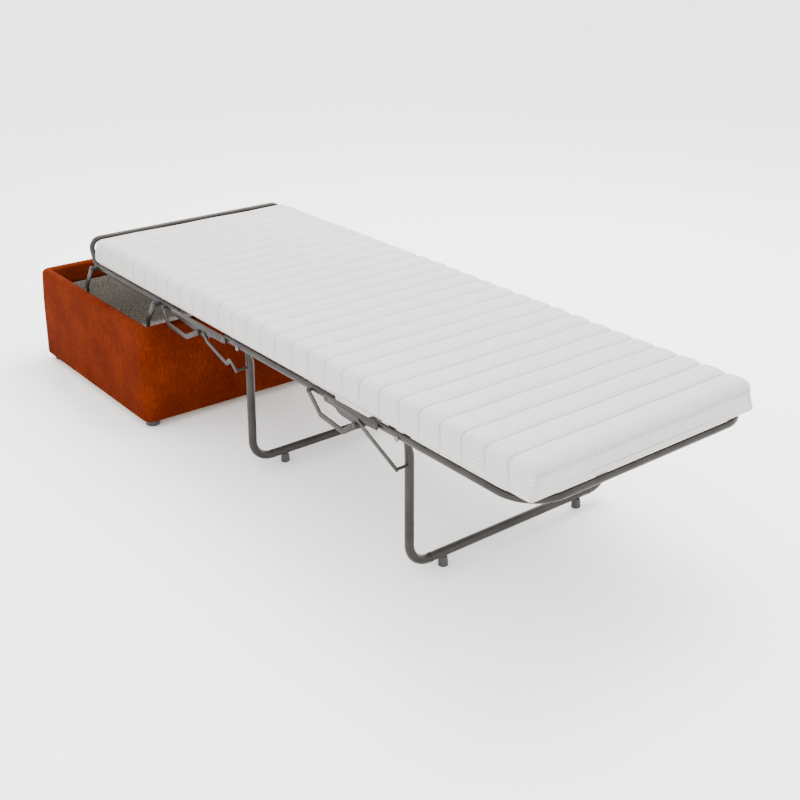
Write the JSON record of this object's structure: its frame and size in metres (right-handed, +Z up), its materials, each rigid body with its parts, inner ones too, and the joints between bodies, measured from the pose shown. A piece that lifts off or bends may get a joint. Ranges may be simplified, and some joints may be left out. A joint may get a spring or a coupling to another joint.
{
  "type": "fold-out guest bed",
  "caption": "Single guest bed whose sprung tube frame and quilted mattress fold twice and lower into an upholstered box with an open top.",
  "frame": {"origin": "middle of the bed's length and width, on the floor", "axes": "+X from the box towards the foot of the bed, +Y to its left when looking from the head, +Z up"},
  "size_m": [2.1637, 0.85, 0.4495],
  "materials": {
    "rust_fabric": "napped chenille",
    "grey_felt": "pressed felt",
    "pine_board": "plain sawn",
    "grey_steel": "satin powder coat",
    "bolt_steel": "plated",
    "black_rubber": "matt",
    "white_mattress": "quilted knit"
  },
  "bodies": {
    "box": {"fabric_cover": "rust_fabric", "front_panel": "pine_board", "back_panel": "pine_board", "left_panel": "pine_board", "right_panel": "pine_board", "bottom_panel": "pine_board", "felt_lining": "grey_felt", "box_foot_rear_left": "black_rubber", "box_foot_rear_right": "black_rubber", "box_foot_front_left": "black_rubber", "box_foot_front_right": "black_rubber", "side_bracket_left": "grey_steel", "side_bracket_right": "grey_steel"},
    "front_arms": {"front_arm_left": "grey_steel", "front_arm_right": "grey_steel"},
    "rear_arms": {"rear_arm_left": "grey_steel", "rear_arm_right": "grey_steel"},
    "head_section": {"head_frame": "grey_steel", "head_cross_tube": "grey_steel", "head_mesh": "grey_steel", "mattress_head": "white_mattress"},
    "hinge_plates_1": {"hinge_plate_1_left": "grey_steel", "hinge_plate_1_right": "grey_steel", "mattress_hinge_1": "white_mattress"},
    "links_1": {"bent_link_1_left": "grey_steel", "bent_link_1_right": "grey_steel"},
    "rods_1": {"leg_rod_1_left": "grey_steel", "leg_rod_1_right": "grey_steel"},
    "middle_section": {"middle_rail_left": "grey_steel", "middle_rail_right": "grey_steel", "middle_cross_tube": "grey_steel", "middle_mesh": "grey_steel", "mattress_middle": "white_mattress", "leg_1_bolt_left": "bolt_steel", "leg_1_bolt_right": "bolt_steel"},
    "leg_1": {"leg_1_tube": "grey_steel", "leg_1_pad_left": "black_rubber", "leg_1_pad_right": "black_rubber"},
    "hinge_plates_2": {"hinge_plate_2_left": "grey_steel", "hinge_plate_2_right": "grey_steel", "mattress_hinge_2": "white_mattress"},
    "links_2": {"bent_link_2_left": "grey_steel", "bent_link_2_right": "grey_steel"},
    "rods_2": {"leg_rod_2_left": "grey_steel", "leg_rod_2_right": "grey_steel"},
    "foot_section": {"foot_frame": "grey_steel", "foot_cross_tube": "grey_steel", "foot_mesh": "grey_steel", "mattress_foot": "white_mattress", "leg_2_bolt_left": "bolt_steel", "leg_2_bolt_right": "bolt_steel"},
    "leg_2": {"leg_2_tube": "grey_steel", "leg_2_pad_left": "black_rubber", "leg_2_pad_right": "black_rubber"}
  },
  "joints": [
    {"name": "front_arm_swing", "type": "hinge", "parent": "box", "child": "front_arms", "pos_m": [-0.442, 0, 0.245], "axis": [0, -1, 0], "range_deg": [0, 135]},
    {"name": "rear_arm_swing", "type": "hinge", "parent": "box", "child": "rear_arms", "pos_m": [-0.841, 0, 0.245], "axis": [0, -1, 0], "range_deg": [0, 135]},
    {"name": "head_levelling", "type": "hinge", "parent": "front_arms", "child": "head_section", "pos_m": [-0.403, 0, 0.3625], "axis": [0, -1, 0], "range_deg": [-135, 0]},
    {"name": "bed_fold", "type": "hinge", "parent": "head_section", "child": "hinge_plates_1", "pos_m": [-0.32, 0, 0.3625], "axis": [0, -1, 0], "range_deg": [0, 90], "deforming": ["mattress_hinge_1"]},
    {"name": "middle_fold", "type": "hinge", "parent": "hinge_plates_1", "child": "middle_section", "pos_m": [-0.05, 0, 0.3625], "axis": [0, -1, 0], "range_deg": [0, 90]},
    {"name": "links_1_turn", "type": "hinge", "parent": "head_section", "child": "links_1", "pos_m": [-0.365, 0, 0.3625], "axis": [0, -1, 0], "range_deg": [0, 76.5]},
    {"name": "rods_1_turn", "type": "hinge", "parent": "hinge_plates_1", "child": "rods_1", "pos_m": [-0.1476, 0, 0.3505], "axis": [0, -1, 0], "range_deg": [0, 64]},
    {"name": "leg_1_fold", "type": "hinge", "parent": "middle_section", "child": "leg_1", "pos_m": [0.015, 0, 0.3585], "axis": [0, -1, 0], "range_deg": [0, 90]},
    {"name": "foot_fold", "type": "hinge", "parent": "middle_section", "child": "hinge_plates_2", "pos_m": [0.412, 0, 0.3625], "axis": [0, -1, 0], "range_deg": [0, 90], "deforming": ["mattress_hinge_2"]},
    {"name": "foot_section_turn", "type": "hinge", "parent": "hinge_plates_2", "child": "foot_section", "pos_m": [0.6, 0, 0.3625], "axis": [0, -1, 0], "range_deg": [0, 90]},
    {"name": "links_2_turn", "type": "hinge", "parent": "middle_section", "child": "links_2", "pos_m": [0.35, 0, 0.3625], "axis": [0, -1, 0], "range_deg": [0, 71.2]},
    {"name": "rods_2_turn", "type": "hinge", "parent": "hinge_plates_2", "child": "rods_2", "pos_m": [0.54, 0, 0.3515], "axis": [0, -1, 0], "range_deg": [0, 84]},
    {"name": "leg_2_fold", "type": "hinge", "parent": "foot_section", "child": "leg_2", "pos_m": [0.673, 0, 0.3585], "axis": [0, -1, 0], "range_deg": [0, 90]}
  ],
  "couplings": [
    {"joint": "front_arm_swing", "follows": "bed_fold", "ratio": 1.5},
    {"joint": "rear_arm_swing", "follows": "bed_fold", "ratio": 1.5},
    {"joint": "head_levelling", "follows": "bed_fold", "ratio": -1.5},
    {"joint": "middle_fold", "follows": "bed_fold", "ratio": 1},
    {"joint": "links_1_turn", "follows": "bed_fold", "ratio": 0.849},
    {"joint": "rods_1_turn", "follows": "bed_fold", "ratio": 0.71},
    {"joint": "leg_1_fold", "follows": "bed_fold", "ratio": 1},
    {"joint": "foot_section_turn", "follows": "foot_fold", "ratio": 1},
    {"joint": "links_2_turn", "follows": "foot_fold", "ratio": 0.79},
    {"joint": "rods_2_turn", "follows": "foot_fold", "ratio": 0.93},
    {"joint": "leg_2_fold", "follows": "foot_fold", "ratio": 1}
  ]
}
